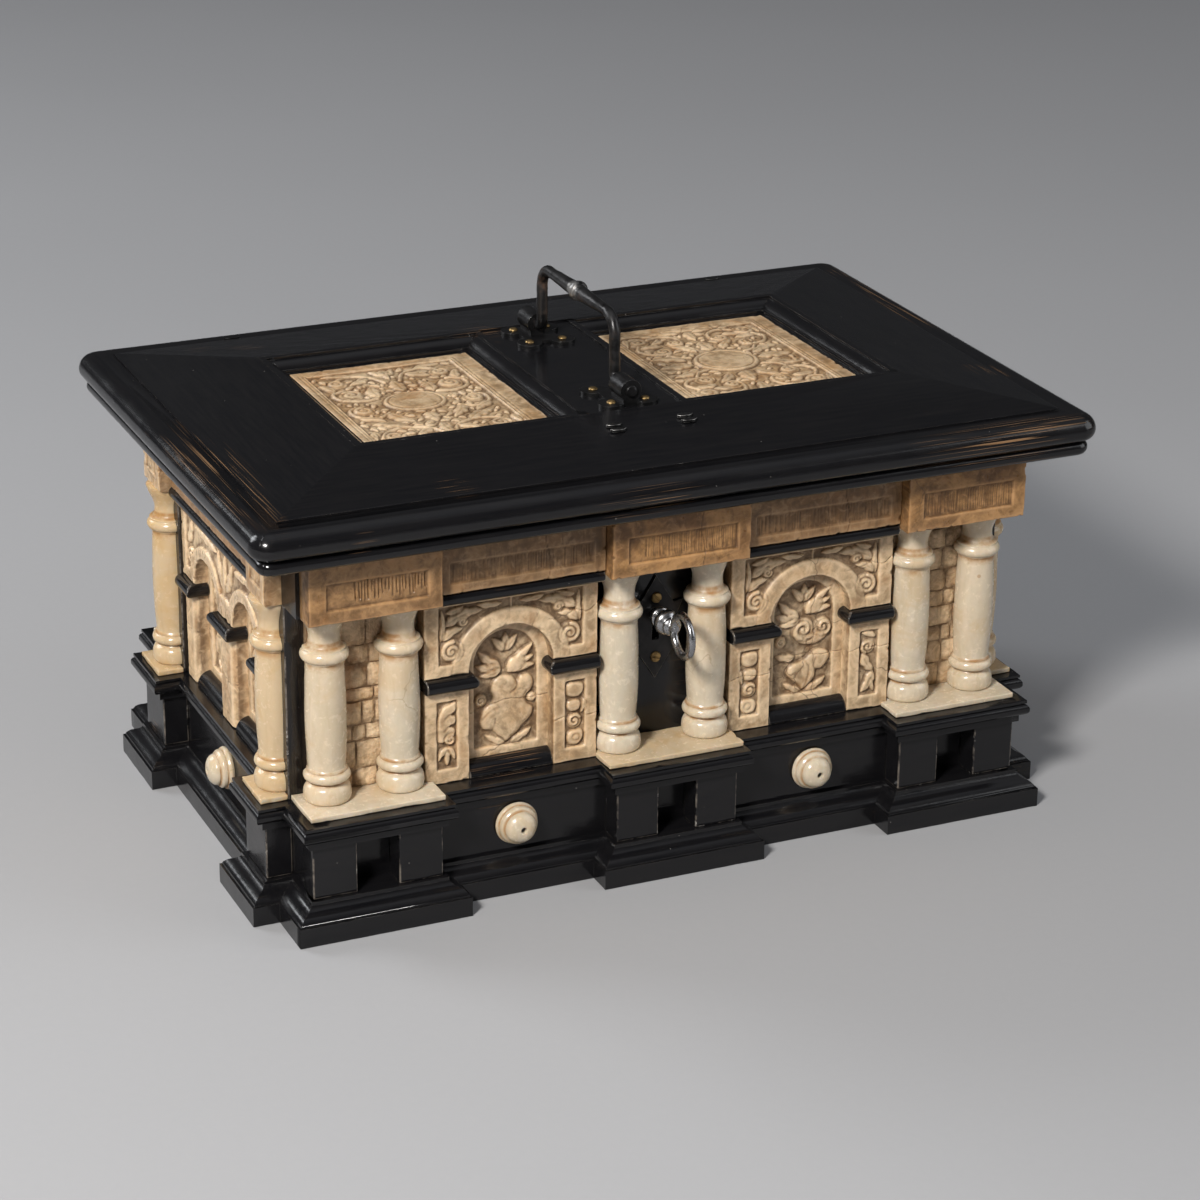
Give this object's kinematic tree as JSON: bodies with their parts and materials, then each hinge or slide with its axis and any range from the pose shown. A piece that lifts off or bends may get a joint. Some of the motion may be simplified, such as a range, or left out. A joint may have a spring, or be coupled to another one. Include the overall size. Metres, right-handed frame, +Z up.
{
  "type": "jewelry casket",
  "caption": "Hinged jewelry casket shaped like a small building: black wooden plinth and lid, alabaster columns, arched niches and panels, a swinging bail handle and a keyed lock.",
  "frame": {"origin": "middle of the footprint, on the surface that the casket stands on", "axes": "+Z up, +X to the right along the front, the front with the lock looks along -Y"},
  "size_m": [0.364, 0.242, 0.2203],
  "materials": {
    "ebonised_wood": "black polish, worn brown at the edges",
    "cream_alabaster": "polished, cream white with grey veins",
    "honey_alabaster": "polished, honey brown, incised",
    "tan_alabaster": "carved, tan with brown in the hollows",
    "blackened_iron": "forged, black with rust",
    "worn_brass": "rubbed bright",
    "bright_steel": "filed and polished"
  },
  "bodies": {
    "casket": {"arcade_heads_ends": "tan_alabaster", "arch_heads_back": "tan_alabaster", "arch_heads_front": "tan_alabaster", "back_blocks": "honey_alabaster", "back_board": "ebonised_wood", "base_moulding": "ebonised_wood", "boss_pins": "blackened_iron", "bottom_board": "ebonised_wood", "brick_panels": "tan_alabaster", "column_front_1": "cream_alabaster", "column_front_2": "cream_alabaster", "column_front_3": "cream_alabaster", "column_front_4": "cream_alabaster", "column_front_5": "cream_alabaster", "column_front_6": "cream_alabaster", "column_slabs": "cream_alabaster", "columns_back": "cream_alabaster", "columns_left": "cream_alabaster", "columns_right": "cream_alabaster", "corner_posts": "ebonised_wood", "dado_boards": "ebonised_wood", "dado_bosses": "cream_alabaster", "end_blocks": "honey_alabaster", "entablature_boards": "ebonised_wood", "frieze_plates": "honey_alabaster", "front_blocks": "honey_alabaster", "front_board": "ebonised_wood", "hinge_staples": "blackened_iron", "imposts": "ebonised_wood", "left_board": "ebonised_wood", "lock_case": "blackened_iron", "lock_cover": "blackened_iron", "lock_plate": "blackened_iron", "lock_screws": "worn_brass", "niche_panels_back": "tan_alabaster", "niche_panels_ends": "tan_alabaster", "niche_panels_front": "tan_alabaster", "niche_sills": "ebonised_wood", "pedestal_blocks": "ebonised_wood", "pier_plates": "tan_alabaster", "plinth_cornice": "ebonised_wood", "right_board": "ebonised_wood", "strip_mouldings": "ebonised_wood"},
    "lid": {"lid_board": "ebonised_wood", "lid_edge_mouldings": "ebonised_wood", "lid_slope_boards": "ebonised_wood", "left_panel_frame": "ebonised_wood", "right_panel_frame": "ebonised_wood", "lid_centre_band": "ebonised_wood", "left_lid_panel": "tan_alabaster", "right_lid_panel": "tan_alabaster", "handle_plates": "blackened_iron", "handle_nails": "worn_brass", "hinge_cotters": "blackened_iron", "lid_hasps": "blackened_iron"},
    "handle": {"handle_bail": "blackened_iron"},
    "key": {"key": "bright_steel"},
    "bolt": {"lock_bolt": "blackened_iron"}
  },
  "joints": [
    {"name": "lid_hinge", "type": "hinge", "parent": "casket", "child": "lid", "pos_m": [0, 0.1092, 0.1554], "axis": [-1, 0, 0], "range_deg": [0, 105]},
    {"name": "handle_swing", "type": "hinge", "parent": "lid", "child": "handle", "pos_m": [0, 0, 0.1894], "axis": [0, 1, 0], "range_deg": [-85, 85]},
    {"name": "key_turn", "type": "hinge", "parent": "casket", "child": "key", "pos_m": [0, -0.08, 0.103], "axis": [0, -1, 0], "range_deg": [0, 90]},
    {"name": "bolt_slide", "type": "slide", "parent": "casket", "child": "bolt", "axis": [1, 0, 0], "range_m": [0, 0.0084]}
  ],
  "couplings": [
    {"joint": "bolt_slide", "follows": "key_turn", "m_per_rad": 0.0053476}
  ]
}
